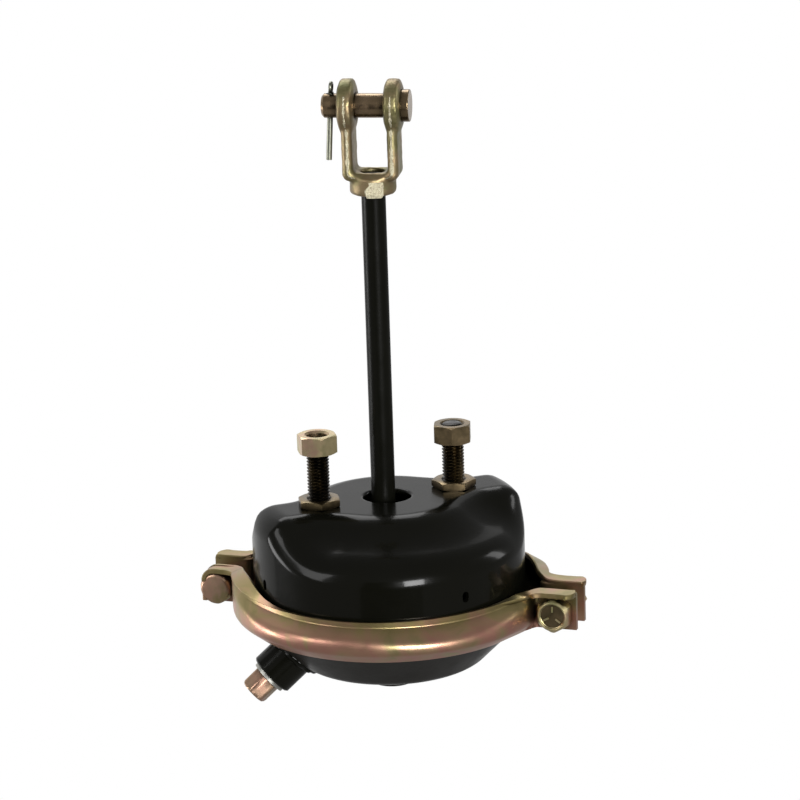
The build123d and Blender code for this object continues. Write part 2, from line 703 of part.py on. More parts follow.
# ================ clevis pin and cotter ================
TAIL_X = -EYE_OUT - PIN_TAIL
HEAD_X = EYE_OUT + END_FLOAT
COTTER_X = TAIL_X + COTTER_INSET
with BuildPart() as pin_square:
    with BuildSketch(Plane.YZ.offset(TAIL_X)):
        with Locations((0, PIN_Z)):
            Circle(PIN_R)
    extrude(amount=HEAD_X - TAIL_X)
    chamfer(pin_square.edges().sort_by(Axis.X)[0], PIN_CHAMFER)
    with BuildSketch(Plane.YZ.offset(HEAD_X)):
        with Locations((0, PIN_Z)):
            Circle(PIN_HEAD_R)
    extrude(amount=PIN_HEAD_T)
    fillet(pin_square.edges().sort_by(Axis.X)[-1], PIN_HEAD_T / 8)
    with BuildSketch(Plane.XY.offset(PIN_Z - PIN_R)):
        with Locations((COTTER_X, 0)):
            Circle(COTTER_HOLE_R)
    extrude(amount=2 * PIN_R, mode=Mode.SUBTRACT)
with BuildPart() as clevis_pin:
    with Locations((ROD_X, 0, 0)):
        add(pin_square.part, rotation=(0, 0, PIN_TURN))
clevis_pin.part.label = "clevis_pin"
export_step(clevis_pin.part, "parts/clevis_pin.step")

with BuildPart() as cotter_upright:
    with BuildSketch(Plane.XY.offset(-COTTER_BELOW)):
        Circle(COTTER_R)
        Rectangle(2 * COTTER_R, COTTER_SLIT, mode=Mode.SUBTRACT)
    extrude(amount=COTTER_BELOW + COTTER_ABOVE)
    with BuildSketch(Plane.XZ):
        with Locations((0, COTTER_ABOVE + 2 * EYELET_R)):
            Circle(EYELET_WIRE)
    revolve(axis=Axis((0, 0, COTTER_ABOVE + EYELET_R), (1, 0, 0)))
with BuildPart() as cotter_leaning:
    with Locations((COTTER_X, 0, PIN_Z)):
        add(cotter_upright.part, rotation=(0, COTTER_LEAN, 0))
with BuildPart() as cotter_pin:
    with Locations((ROD_X, 0, 0)):
        add(cotter_leaning.part, rotation=(0, 0, PIN_TURN))
cotter_pin.part.label = "cotter_pin"
export_step(cotter_pin.part, "parts/cotter_pin.step")
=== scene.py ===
"""Looks of an air brake chamber: pressed housings, clamp ring, clevis, finishes and stage."""
import json
import math

import bmesh
import bpy
import numpy as np
from mathutils import Matrix, Vector, noise


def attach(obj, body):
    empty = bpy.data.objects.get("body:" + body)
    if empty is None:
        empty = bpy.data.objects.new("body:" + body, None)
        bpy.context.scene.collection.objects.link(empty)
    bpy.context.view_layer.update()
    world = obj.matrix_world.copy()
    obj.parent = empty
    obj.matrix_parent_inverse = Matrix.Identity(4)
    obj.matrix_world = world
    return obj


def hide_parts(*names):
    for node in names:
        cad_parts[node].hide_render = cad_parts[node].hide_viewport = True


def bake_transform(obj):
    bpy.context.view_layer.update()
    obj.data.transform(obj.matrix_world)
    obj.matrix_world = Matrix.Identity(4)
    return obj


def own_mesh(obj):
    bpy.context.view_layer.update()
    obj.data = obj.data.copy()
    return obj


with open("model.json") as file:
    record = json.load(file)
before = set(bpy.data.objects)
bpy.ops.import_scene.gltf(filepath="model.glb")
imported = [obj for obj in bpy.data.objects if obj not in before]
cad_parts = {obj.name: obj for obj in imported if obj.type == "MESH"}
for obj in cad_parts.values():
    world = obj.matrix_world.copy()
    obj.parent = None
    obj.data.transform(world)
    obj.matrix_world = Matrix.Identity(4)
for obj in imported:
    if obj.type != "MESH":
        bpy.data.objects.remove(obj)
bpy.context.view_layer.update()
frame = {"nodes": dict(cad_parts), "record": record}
NODES = frame["nodes"]
MM = 0.001


# ---------------------------------------------------------------- materials
class Shader:
    """A node material built up step by step."""

    def __init__(self, name):
        self.mat = bpy.data.materials.new(name)
        self.mat.use_nodes = True
        self.tree = self.mat.node_tree
        self.bsdf = self.tree.nodes["Principled BSDF"]
        self.coords = self.tree.nodes.new("ShaderNodeTexCoord")

    def node(self, kind, **values):
        made = self.tree.nodes.new(kind)
        for key, value in values.items():
            if key in made.inputs:
                made.inputs[key].default_value = value
            else:
                setattr(made, key, value)
        return made

    def link(self, out, into):
        self.tree.links.new(out, into)

    def noise(self, scale, detail=3.0, rough=0.55, stretch=(1, 1, 1), distortion=0.0):
        mapping = self.node("ShaderNodeMapping")
        mapping.inputs["Scale"].default_value = stretch
        self.link(self.coords.outputs["Object"], mapping.inputs["Vector"])
        made = self.node("ShaderNodeTexNoise")
        made.inputs["Scale"].default_value = scale
        made.inputs["Detail"].default_value = detail
        made.inputs["Roughness"].default_value = rough
        made.inputs["Distortion"].default_value = distortion
        self.link(mapping.outputs["Vector"], made.inputs["Vector"])
        return made.outputs["Fac"]

    def ramp(self, fac, stops):
        made = self.node("ShaderNodeValToRGB")
        band = made.color_ramp
        while len(band.elements) > 1:
            band.elements.remove(band.elements[0])
        band.elements[0].position = stops[0][0]
        band.elements[0].color = (*stops[0][1], 1)
        for position, colour in stops[1:]:
            band.elements.new(position).color = (*colour, 1)
        self.link(fac, made.inputs["Fac"])
        return made.outputs["Color"]

    def mix(self, fac, a, b, blend="MIX"):
        made = self.node("ShaderNodeMix", data_type="RGBA", blend_type=blend)
        sockets = {s.identifier: s for s in made.inputs}
        pairs = ((fac, sockets["Factor_Float"]), (a, sockets["A_Color"]), (b, sockets["B_Color"]))
        for value, socket in pairs:
            if hasattr(value, "is_output"):
                self.link(value, socket)
            elif isinstance(value, (int, float)):
                socket.default_value = value
            else:
                socket.default_value = (*value, 1)
        return {s.identifier: s for s in made.outputs}["Result_Color"]

    def bump(self, height, strength, distance, under=None):
        made = self.node("ShaderNodeBump")
        made.inputs["Strength"].default_value = strength
        made.inputs["Distance"].default_value = distance
        self.link(height, made.inputs["Height"])
        if under is not None:
            self.link(under, made.inputs["Normal"])
        return made.outputs["Normal"]

    def spread(self, fac, low, high):
        made = self.node("ShaderNodeMapRange")
        made.inputs["To Min"].default_value = low
        made.inputs["To Max"].default_value = high
        made.inputs["From Min"].default_value = 0.3
        made.inputs["From Max"].default_value = 0.7
        self.link(fac, made.inputs["Value"])
        return made.outputs["Result"]

    def painted_crease_shade(self, tint, reach):
        """The tint with painted shade: darker where the surface is boxed in, by ambient occlusion."""
        shade = self.node("ShaderNodeAmbientOcclusion", samples=6)
        shade.inputs["Distance"].default_value = reach
        power = self.node("ShaderNodeMath", operation="POWER")
        power.inputs[1].default_value = 1.6
        self.link(shade.outputs["AO"], power.inputs[0])
        return self.mix(power.outputs["Value"], self.mix(0.85, tint, (0.01, 0.008, 0.005)), tint)

    def finish(self, colour, metallic, rough, normal=None, coat=0.0, coat_rough=0.1, specular=0.5):
        for value, name in ((colour, "Base Color"), (rough, "Roughness"), (normal, "Normal")):
            socket = self.bsdf.inputs[name]
            if value is None:
                continue
            if hasattr(value, "is_output"):
                self.link(value, socket)
            elif name == "Base Color":
                socket.default_value = (*value, 1)
            else:
                socket.default_value = value
        self.bsdf.inputs["Metallic"].default_value = metallic
        self.bsdf.inputs["Coat Weight"].default_value = coat
        self.bsdf.inputs["Coat Roughness"].default_value = coat_rough
        self.bsdf.inputs["Specular IOR Level"].default_value = specular
        return self.mat


def black_paint(name, colour, rough, peel, coat, specular=0.35):
    s = Shader(name)
    drift = s.noise(14, 2)
    tone = s.mix(drift, colour, tuple(c * 1.5 for c in colour))
    peel_bump = s.bump(s.noise(420, 2, 0.5), peel, 0.0004)
    wave = s.bump(s.noise(38, 2, 0.5), peel * 0.7, 0.0012, peel_bump)
    gloss = s.spread(s.noise(60, 3), rough * 0.85, rough * 1.2)
    return s.finish(tone, 0.0, gloss, wave, coat, 0.08, specular)


def zinc(name, stops, rough, bump=0.035):
    s = Shader(name)
    film = s.noise(34, 3, 0.55, distortion=1.2)
    fine = s.noise(260, 4, 0.6)
    tint = s.ramp(s.mix(0.22, film, fine), stops)
    grain = s.bump(s.noise(900, 3, 0.6), bump, 0.0003)
    dents = s.bump(s.noise(70, 2, 0.5), bump * 2.4, 0.0008, grain)
    # Painted shade darkens the zinc in creases and corners.
    return s.finish(s.painted_crease_shade(tint, 0.004), 1.0, s.spread(fine, rough * 0.8, rough * 1.25), dents)


def forged(name, stops):
    """Plated forging: a fine grain over soft hammer marks."""
    s = Shader(name)
    film = s.noise(38, 4, 0.6, distortion=0.6)
    fine = s.noise(620, 5, 0.7)
    tint = s.ramp(s.mix(0.25, film, fine), stops)
    grain = s.bump(s.noise(1100, 4, 0.65), 0.35, 0.0003)
    lumps = s.bump(s.noise(190, 3, 0.55), 0.30, 0.0009, grain)
    # Painted shade darkens the forging in creases and corners.
    return s.finish(s.painted_crease_shade(tint, 0.005), 0.88, s.spread(fine, 0.36, 0.50), lumps)


def ground_and_glint(name):
    """Metal bared by trimming and grinding, with dense pits; its bright tint is partly a painted highlight.
    """
    s = Shader(name)
    fine = s.noise(1500, 5, 0.75)
    tint = s.ramp(fine, [(0.35, (0.20, 0.17, 0.10)), (0.50, (0.46, 0.42, 0.30)), (0.62, (0.54, 0.50, 0.34))])
    return s.finish(tint, 0.9, s.spread(fine, 0.30, 0.48), s.bump(fine, 0.9, 0.0006))


def clamp_zinc(name):
    """Yellow zinc on the pressed band: olive on the slope over the ridge, pink on the wall."""
    s = Shader(name)
    film = s.noise(30, 3, 0.55, distortion=1.4)
    place = s.node("ShaderNodeSeparateXYZ")
    s.link(s.coords.outputs["Object"], place.inputs["Vector"])
    rise = s.node("ShaderNodeMapRange")
    rise.inputs["From Min"].default_value = -0.0585
    rise.inputs["From Max"].default_value = -0.0535
    s.link(place.outputs["Z"], rise.inputs["Value"])
    pink = s.ramp(film, [
        (0.36, (0.30, 0.24, 0.12)),
        (0.45, (0.38, 0.24, 0.15)),
        (0.58, (0.40, 0.20, 0.15)),
        (0.70, (0.32, 0.26, 0.13)),
    ])
    olive = s.ramp(film, [
        (0.34, (0.20, 0.17, 0.07)),
        (0.50, (0.28, 0.22, 0.10)),
        (0.66, (0.34, 0.20, 0.13)),
    ])
    # Painted shade darkens the band in creases, such as under the lip.
    tint = s.painted_crease_shade(s.mix(rise.outputs["Result"], pink, olive), 0.006)
    fine = s.noise(120, 3, 0.5)
    dents = s.bump(s.noise(40, 2, 0.5), 0.12, 0.0010)
    return s.finish(tint, 1.0, s.spread(fine, 0.33, 0.42), dents)


ZINC_STOPS = [
    (0.30, (0.30, 0.30, 0.13)),
    (0.42, (0.42, 0.36, 0.19)),
    (0.50, (0.50, 0.41, 0.23)),
    (0.58, (0.48, 0.32, 0.22)),
    (0.70, (0.38, 0.36, 0.22)),
]
PINK_STOPS = [
    (0.36, (0.28, 0.22, 0.11)),
    (0.46, (0.38, 0.25, 0.17)),
    (0.60, (0.42, 0.24, 0.17)),
]
FORGED_STOPS = [
    (0.36, (0.11, 0.105, 0.040)),
    (0.46, (0.18, 0.155, 0.075)),
    (0.54, (0.20, 0.145, 0.080)),
    (0.64, (0.16, 0.145, 0.070)),
]
TURNED_STOPS = [
    (0.3, (0.16, 0.115, 0.06)),
    (0.7, (0.27, 0.19, 0.12)),
]
# Darker copy of the yellow zinc as painted shade: the dark the nuts show from reflected dark surroundings.
SHADED_ZINC_STOPS = [
    (0.3, (0.09, 0.07, 0.035)),
    (0.7, (0.22, 0.16, 0.09)),
]
BRIGHT_STOPS = [
    (0.3, (0.42, 0.42, 0.38)),
    (0.7, (0.60, 0.60, 0.55)),
]
MATS = {
    "gloss": black_paint("gloss_black_paint", (0.0018, 0.0018, 0.0011), 0.22, 0.05, 0.12, 0.05),
    "satin": black_paint("satin_black_paint", (0.0042, 0.0038, 0.0030), 0.36, 0.10, 0.0, 0.09),
    "rod": black_paint("rod_black_paint", (0.0018, 0.0018, 0.0011), 0.30, 0.06, 0.0, 0.07),
    "clamp": clamp_zinc("yellow_zinc_band"),
    "zinc": zinc("yellow_zinc", ZINC_STOPS, 0.32),
    "pink": zinc("pink_zinc", PINK_STOPS, 0.34),
    "zinc_pin": zinc("yellow_zinc_turned", TURNED_STOPS, 0.26, 0.03),
    # Painted shade: the darker copy of the yellow zinc.
    "shaded_zinc": zinc("painted_shade_zinc", SHADED_ZINC_STOPS, 0.34),
    "forged": forged("yellow_zinc_forged", FORGED_STOPS),
    # Bright bare metal, partly a painted highlight for the glints on the clevis.
    "ground_and_glint": ground_and_glint("ground_forging_and_glint"),
    "grey": zinc("bright_zinc", BRIGHT_STOPS, 0.36),
    "cotter": zinc("cotter_zinc", [(0.3, (0.16, 0.165, 0.13)), (0.7, (0.25, 0.25, 0.20))], 0.34),
    "stud": zinc("stud_zinc", [(0.46, (0.006, 0.005, 0.004)), (0.68, (0.10, 0.07, 0.03))], 0.30, 0.04),
    "rubber": black_paint("diaphragm_rubber", (0.020, 0.020, 0.020), 0.75, 0.12, 0.0),
    "coil": zinc("spring_steel", [(0.3, (0.05, 0.05, 0.05)), (0.7, (0.10, 0.10, 0.10))], 0.45),
}
FINISH = {
    # The base nuts and the right stud nut take the darker zinc as painted shade.
    "non_pressure_housing": "gloss", "base_nut_left": "shaded_zinc", "base_nut_right": "shaded_zinc",
    "pressure_housing": "satin", "side_port_boss": "gloss", "inlet_boss": "satin",
    "push_plate": "satin", "push_rod": "rod", "clevis": "forged", "clevis_pin": "zinc_pin",
    "cotter_pin": "cotter", "plug_washer": "grey", "diaphragm": "rubber",
    "clamp_front": "clamp", "clamp_rear": "clamp", "stud_nut_right": "shaded_zinc",
    "port_plug": "pink", "clamp_bolt_left": "pink",
    "return_spring": "coil", "stud_left": "stud", "stud_right": "stud",
}
BODY = {node: body for body, names in frame["record"]["behaviour"]["bodies"].items() for node in names}
for name, node in NODES.items():
    node.data.materials.clear()
    node.data.materials.append(MATS[FINISH.get(name, "zinc")])


# ---------------------------------------------------------------- mesh helpers
def mesh_object(name, verts, faces, smooth_angle, finish):
    """A mesh in metres with smooth faces and sharp edges over the angle."""
    mesh = bpy.data.meshes.new(name)
    mesh.from_pydata([tuple(v) for v in verts], [], faces)
    obj = bpy.data.objects.new(name, mesh)
    bpy.context.scene.collection.objects.link(obj)
    tidy(obj, smooth_angle)
    mesh.materials.append(MATS[finish])
    return obj


def new_object(name, verts, faces, node, smooth_angle=35):
    """A mesh that stands for a CAD node and rides with its body."""
    obj = mesh_object(name, verts, faces, smooth_angle, FINISH.get(node, "zinc"))
    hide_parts(node)
    return carried(obj, node)


def extra_object(name, verts, faces, node, smooth_angle=35, finish=None):
    """A surface detail on a CAD node, which stays."""
    obj = mesh_object(name, verts, faces, smooth_angle, finish or FINISH.get(node, "zinc"))
    return carried(obj, node)


def carried(obj, node):
    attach(obj, BODY[node])
    return obj


def tidy(obj, smooth_angle):
    bm = bmesh.new()
    bm.from_mesh(obj.data)
    bmesh.ops.remove_doubles(bm, verts=bm.verts, dist=1e-6)
    bmesh.ops.recalc_face_normals(bm, faces=bm.faces)
    bm.to_mesh(obj.data)
    bm.free()
    obj.data.shade_smooth()
    obj.data.set_sharp_from_angle(angle=math.radians(smooth_angle))


def softened(node, width, segments=3, angle=28):
    """A copy of a CAD node with its sharp edges rounded."""
    obj = bpy.data.objects.new("soft_" + node, NODES[node].data.copy())
    bpy.context.scene.collection.objects.link(obj)
    bm = bmesh.new()
    bm.from_mesh(obj.data)
    bmesh.ops.remove_doubles(bm, verts=bm.verts, dist=2e-6)
    bmesh.ops.dissolve_limit(bm, angle_limit=math.radians(0.6), verts=bm.verts, edges=bm.edges)
    bmesh.ops.recalc_face_normals(bm, faces=bm.faces)
    bm.to_mesh(obj.data)
    bm.free()
    bevel = obj.modifiers.new("round_edges", "BEVEL")
    bevel.width = width * MM
    bevel.segments = segments
    bevel.limit_method = "ANGLE"
    bevel.angle_limit = math.radians(angle)
    bevel.harden_normals = True
    obj.data.shade_smooth()
    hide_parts(node)
    return carried(obj, node)


# ---------------------------------------------------------------- sizes from the CAD, in mm
SKIRT_R = 72.3
PLATEAU_Z = -4.2
PLATEAU_R = 40.3
SCOOP_FOOT_R = 54.5
LEDGE_Z = -18.5
LEDGE_FALL = math.atan2(2.5, 17.8)
LOBE_HALF = 15.5
LOBE_LEAN = math.radians(42)
SHEET = 3.0
HOLE_R = 12.5
RIM_R = 79.8
RIM_Z = -58.5
RIM_FACE_Z = -59.5
UPPER_FALL = 0.66
BOWL_Z = -94.7
BOWL_FOOT_R = 47.5
BOWL_HIP = (72.3, -69.85)
LUG_AZIMUTH = math.radians(-40)
WALL_R = 84.0
CLAMP_T = 2.8
WEB_Y = 8.8
FLANGE_FOOT_Y = 6.0
FLANGE_Y = 15.8
EAR_BEND = 2.0
TIP_CORNER = 7.0
BOLT_X = 94.6
BOLT_Z = -59.0
HEAD_Y = -15.6
PIN_Z = 206.0
PIN_TURN = math.radians(-29.6)
ROD_X = -2.0
STUD_X = 38.1
STUD_TOP_Z = 30.8
THREAD_PITCH = 1.75
THREAD_CREST_R = 5.95
THREAD_DEPTH = 1.0
BOLT_HEAD_H = 6.8
BOLT_HALF_AF = 8.5
BOLT_R = 5.0
PORT_AZIMUTH = math.radians(170)
PORT_DIP = math.radians(41)
PORT_FACE_R = 66.1
PORT_FACE_Z = -98.6
BOSS_R = 12.2
PLUG_HALF_AF = 7.0
COLLAR_R = 12.0
PATCH_R = 12.22


# ---------------------------------------------------------------- upper housing
def round_and(a, b, radius):
    """Distance to where both shapes are, with the edge between them rounded."""
    over = np.hypot(np.maximum(radius + a, 0), np.maximum(radius + b, 0))
    return np.minimum(-radius, np.maximum(a, b)) + over


def round_or(a, b, radius):
    """Distance to both shapes together, with the corner between them filled."""
    under = np.hypot(np.maximum(radius - a, 0), np.maximum(radius - b, 0))
    return np.maximum(radius, np.minimum(a, b)) - under


def housing_distance(x, y, z):
    """Signed distance in mm to the outer skin of the pressed upper housing."""
    radius = np.hypot(x, y)
    skirt = radius - SKIRT_R
    top = z - PLATEAU_Z
    ledge = (radius - SCOOP_FOOT_R) * math.sin(LEDGE_FALL) + (z - LEDGE_Z) * math.cos(LEDGE_FALL)
    run = SCOOP_FOOT_R - PLATEAU_R
    rise = PLATEAU_Z - LEDGE_Z
    scoop = ((radius - SCOOP_FOOT_R) * rise + (z - LEDGE_Z) * run) / math.hypot(run, rise)
    side = (np.abs(y) - LOBE_HALF) * math.cos(LOBE_LEAN) + top * math.sin(LOBE_LEAN)
    land = round_or(round_or(scoop, ledge, 9), side, 9)
    land = round_and(land, top, 4.5)
    body = round_and(land, skirt, 12.0 - 1.2 * np.tanh(x / 20))
    cone = ((radius - RIM_R) * UPPER_FALL + z - RIM_Z) / math.hypot(1, UPPER_FALL)
    return round_or(body, np.maximum(radius - RIM_R, cone), 3)


RAY_CENTRE_Z = -40.0


def skin(inset, start, end, rows, columns):
    """Grid of points where rays from inside the can meet the skin, rows from hole to rim."""
    tilt = np.linspace(start, end, rows)[:, None]
    turn = np.linspace(0, 2 * math.pi, columns, endpoint=False)[None, :]
    ray = (np.sin(tilt) * np.cos(turn), np.sin(tilt) * np.sin(turn), np.cos(tilt) + 0 * turn)
    near = np.full((rows, columns), 5.0)
    far = np.full((rows, columns), 110.0)
    for _ in range(30):
        middle = (near + far) / 2
        gap = housing_distance(ray[0] * middle, ray[1] * middle, ray[2] * middle + RAY_CENTRE_Z)
        inside = gap + inset < 0
        near = np.where(inside, middle, near)
        far = np.where(inside, far, middle)
    reach = (near + far) / 2
    return np.stack((ray[0] * reach, ray[1] * reach, ray[2] * reach + RAY_CENTRE_Z), axis=-1)


def ring(radius, z, columns):
    turn = np.linspace(0, 2 * math.pi, columns, endpoint=False)
    return np.stack((radius * np.cos(turn), radius * np.sin(turn), np.full(columns, z)), axis=-1)


def grid_faces(rows, columns, closed_rows=False):
    """Quads of a grid that closes on itself along its columns."""
    faces = []
    for row in range(rows if closed_rows else rows - 1):
        here = row * columns
        above = ((row + 1) % rows) * columns
        for column in range(columns):
            after = (column + 1) % columns
            faces.append((here + column, here + after, above + after, above + column))
    return faces


def cut_slot(obj, azimuth, z, width, height):
    """Cut one upright vent slot through the skirt."""
    verts = []
    steps = 8
    for side, start in ((1, 0), (-1, math.pi)):
        for step in range(steps + 1):
            angle = start + math.pi * step / steps
            rise = side * (height - width) / 2 + width / 2 * math.sin(angle)
            verts.append((width / 2 * math.cos(angle), rise))
    count = len(verts)
    points = [(r * MM, u * MM, (z + v) * MM) for r in (SKIRT_R - 8, SKIRT_R + 4) for u, v in verts]
    faces = [(i, (i + 1) % count, count + (i + 1) % count, count + i) for i in range(count)]
    faces.append(tuple(range(count))[::-1])
    faces.append(tuple(range(count, 2 * count)))
    mesh = bpy.data.meshes.new("slot_cutter")
    mesh.from_pydata(points, [], faces)
    cutter = bpy.data.objects.new("slot_cutter", mesh)
    bpy.context.scene.collection.objects.link(cutter)
    mesh.transform(Matrix.Rotation(math.radians(azimuth), 4, "Z"))
    subtract(obj, cutter)


def settled(obj):
    """The object's mesh with its modifiers applied; the object drops them."""
    bpy.context.view_layer.update()
    graph = bpy.context.evaluated_depsgraph_get()
    mesh = bpy.data.meshes.new_from_object(obj.evaluated_get(graph))
    obj.modifiers.clear()
    return mesh


def subtract(obj, cutter):
    """Cut one mesh from another for good, and drop the cutter."""
    modifier = obj.modifiers.new("cut", "BOOLEAN")
    modifier.operation = "DIFFERENCE"
    modifier.solver = "EXACT"
    modifier.object = cutter
    obj.data = settled(obj)
    bpy.data.objects.remove(cutter)


def upper_housing():
    """Pressed housing: outer skin, rolled hole edge, inner skin and the pressed rim."""
    columns = 300
    hole_start = math.atan2(HOLE_R + 1.6, PLATEAU_Z - RAY_CENTRE_Z)
    outer_end = math.atan2(RIM_R, RIM_FACE_Z - RAY_CENTRE_Z)
    inner_end = math.atan2(RIM_R - 3.9, RIM_FACE_Z - RAY_CENTRE_Z)
    outer = skin(0, hole_start, outer_end, 150, columns)
    inner = skin(SHEET, hole_start + 0.02, inner_end, 60, columns)
    middle_z = PLATEAU_Z - SHEET / 2
    edge = [
        ring(HOLE_R + 1.5 - 1.5 * math.cos(a), middle_z + 1.5 * math.sin(a), columns)[None]
        for a in np.radians([75, 50, 25, 0, -25, -50, -75])
    ]
    rows = np.concatenate([outer[::-1]] + edge + [inner])
    faces = grid_faces(len(rows), columns, closed_rows=True)
    obj = new_object("upper_housing", rows.reshape(-1, 3) * MM, faces, "non_pressure_housing", 40)
    for azimuth in (-175.5, -77.8):
        cut_slot(obj, azimuth, -41.7, 3.8, 5.8)
    obj.data.shade_smooth()
    obj.data.set_sharp_from_angle(angle=math.radians(40))
    return obj


# ---------------------------------------------------------------- clamp halves
def smooth_step(value):
    value = np.clip(value, 0, 1)
    return value * value * (3 - 2 * value)


def glide(keys, values, at):
    """Smooth curve through given values."""
    keys = np.asarray(keys, float)
    values = np.asarray(values, float)
    slopes = np.gradient(values, keys, axis=0)
    at = np.clip(at, keys[0], keys[-1])
    low = np.clip(np.searchsorted(keys, at) - 1, 0, len(keys) - 2)
    span = keys[low + 1] - keys[low]
    t = (at - keys[low]) / span
    a = values[low]
    b = values[low + 1]
    ma = slopes[low] * span
    mb = slopes[low + 1] * span
    near = a * (2 * t**3 - 3 * t**2 + 1) + ma * (t**3 - 2 * t**2 + t)
    return near + b * (3 * t**2 - 2 * t**3) + mb * (t**3 - t**2)


# Section of the band against the angle from the lug line: lip top, lip foot, ridge, foot and
# end of the lower leg, each as radius beyond the wall and height.
LONG_END = {
    4: (-0.4, -48.0, -0.1, -48.8, 0, -50.5, 0, -64.8, -2.0, -68.6),
    20: (-0.7, -47.6, -0.2, -48.4, 0, -50.5, 0, -64.3, -6.5, -70.4),
    32: (-2.6, -48.0, -1.8, -49.0, 0, -51.6, 0, -64.3, -8.5, -70.9),
    42: (-4.8, -48.9, -4.2, -50.4, 0, -53.8, 0, -64.3, -8.5, -70.9),
    55: (-7.2, -49.4, -7.0, -51.7, 0, -56.6, 0, -64.3, -8.5, -70.9),
    72: (-8.2, -49.4, -8.2, -52.2, 0, -57.7, 0, -64.3, -8.5, -70.9),
    90: (-8.2, -49.4, -8.2, -52.2, 0, -57.9, 0, -64.3, -8.5, -70.9),
}
SHORT_END = {
    4: (-0.4, -48.0, -0.1, -48.8, 0, -50.5, 0, -64.8, -2.0, -68.6),
    9: (-2.0, -48.0, -1.2, -49.0, 0, -51.5, 0, -64.6, -6.0, -70.2),
    16: (-6.2, -49.2, -5.6, -50.9, 0, -55.2, 0, -64.3, -8.5, -70.9),
    28: (-8.2, -49.4, -8.2, -52.2, 0, -57.9, 0, -64.3, -8.5, -70.9),
    90: (-8.2, -49.4, -8.2, -52.2, 0, -57.9, 0, -64.3, -8.5, -70.9),
}
EAR_SECTION = (0, -47.4, 0, -48.2, 0, -49.4, 0, -64.0, 0, -67.8)

# Top strip: inner and outer edge against the angle from the lug line, as radius and height.
LONG_STRIP = {
    18: (77.6, -43.6, 84.9, -46.9),
    24: (76.2, -42.9, 83.9, -47.1),
    30: (75.2, -43.0, 82.4, -47.6),
    38: (74.6, -45.0, 80.4, -48.5),
    48: (74.3, -47.8, 78.0, -49.2),
    60: (74.2, -49.2, 76.0, -49.4),
    72: (74.2, -49.4, 75.8, -49.4),
}
SHORT_STRIP = {
    12: (76.6, -48.0, 83.0, -48.6),
    16: (75.2, -48.8, 79.5, -49.1),
    22: (74.3, -49.3, 76.4, -49.4),
    28: (74.2, -49.4, 75.8, -49.4),
}


def arc_corners(points, radii, steps):
    """Outline with its inner corners rounded, the ends kept."""
    made = [points[0]]
    for before, here, after, radius in zip(points, points[1:], points[2:], radii):
        back = (before - here) / np.linalg.norm(before - here)
        on = (after - here) / np.linalg.norm(after - here)
        cut = min(radius, 0.45 * np.linalg.norm(before - here), 0.45 * np.linalg.norm(after - here))
        start = here + back * cut
        end = here + on * cut
        for step in range(steps + 1):
            t = step / steps
            made.append((1 - t) ** 2 * start + 2 * t * (1 - t) * here + t**2 * end)
    made.append(points[-1])
    return np.array(made)


def thickened(points, thickness):
    """Closed section of a sheet whose outer side is the given outline."""
    along = np.gradient(points, axis=0)
    along /= np.linalg.norm(along, axis=1)[:, None]
    inward = np.stack((along[:, 1], -along[:, 0]), axis=1)
    return np.concatenate((points, (points + inward * thickness[:, None])[::-1]))


def wall_section(angle, end, drop):
    """Closed section of lip, wall and lower leg at an angle from the lug line."""
    values = EAR_SECTION if angle is None else glide(list(end), list(end.values()), angle)
    corners = np.array(values).reshape(5, 2)
    corners[:3, 1] -= drop
    outline = arc_corners(corners, (0.6, 3.6, 3.0), 4)
    thickness = np.full(len(outline), CLAMP_T)
    thickness[:6] = np.linspace(1.6, CLAMP_T, 6)
    return thickened(outline, thickness)


def end_stations(ear_end, wrapped):
    """Places along one end of a half, from the ear's tip to the band: foot, normal, angle, drop."""
    bend_y = WEB_Y + EAR_BEND
    bend_x = math.sqrt((WALL_R + EAR_BEND) ** 2 - bend_y**2)
    start = math.atan2(bend_y, bend_x)
    places = []
    for x in np.append(ear_end - TIP_CORNER * np.linspace(0, 1, 8) ** 2, (93.0, bend_x)):
        short = max(0, x - ear_end + TIP_CORNER)
        drop = TIP_CORNER - math.sqrt(TIP_CORNER**2 - short**2) if wrapped else 0
        places.append(((x, WEB_Y), (0, 1), None, min(drop, TIP_CORNER - 0.5)))
    for turn in np.linspace(math.pi / 2, start, 7):
        normal = (math.cos(turn), math.sin(turn))
        foot = (bend_x - EAR_BEND * normal[0], bend_y - EAR_BEND * normal[1])
        places.append((foot, normal, 4 if turn < 0.6 else None, 0))
    for angle in np.linspace(math.degrees(start) + 0.5, 89.5, 75):
        normal = (math.cos(math.radians(angle)), math.sin(math.radians(angle)))
        places.append(((WALL_R * normal[0], WALL_R * normal[1]), normal, angle, 0))
    return places


def placed_section(foot, normal, section):
    """Section points set out in plan from the wall's outer face."""
    plan = np.array(foot)[None, :] + section[:, :1] * np.array(normal)[None, :]
    return np.concatenate((plan, section[:, 1:]), axis=1)


def wall_loft(ear_ends, ends, tips):
    """Rows of section points from the left ear's tip round to the right one's."""
    rows = []
    for side, ear_end, end, tip in zip((-1, 1), ear_ends, ends, tips):
        sections = [
            placed_section(foot, normal, wall_section(angle, end, drop))
            for foot, normal, angle, drop in end_stations(ear_end, tip is wrapped_tip)
        ]
        part = np.array(sections) * (side, -1, 1)
        rows.append(part if side < 0 else part[::-1])
    return np.concatenate(rows)


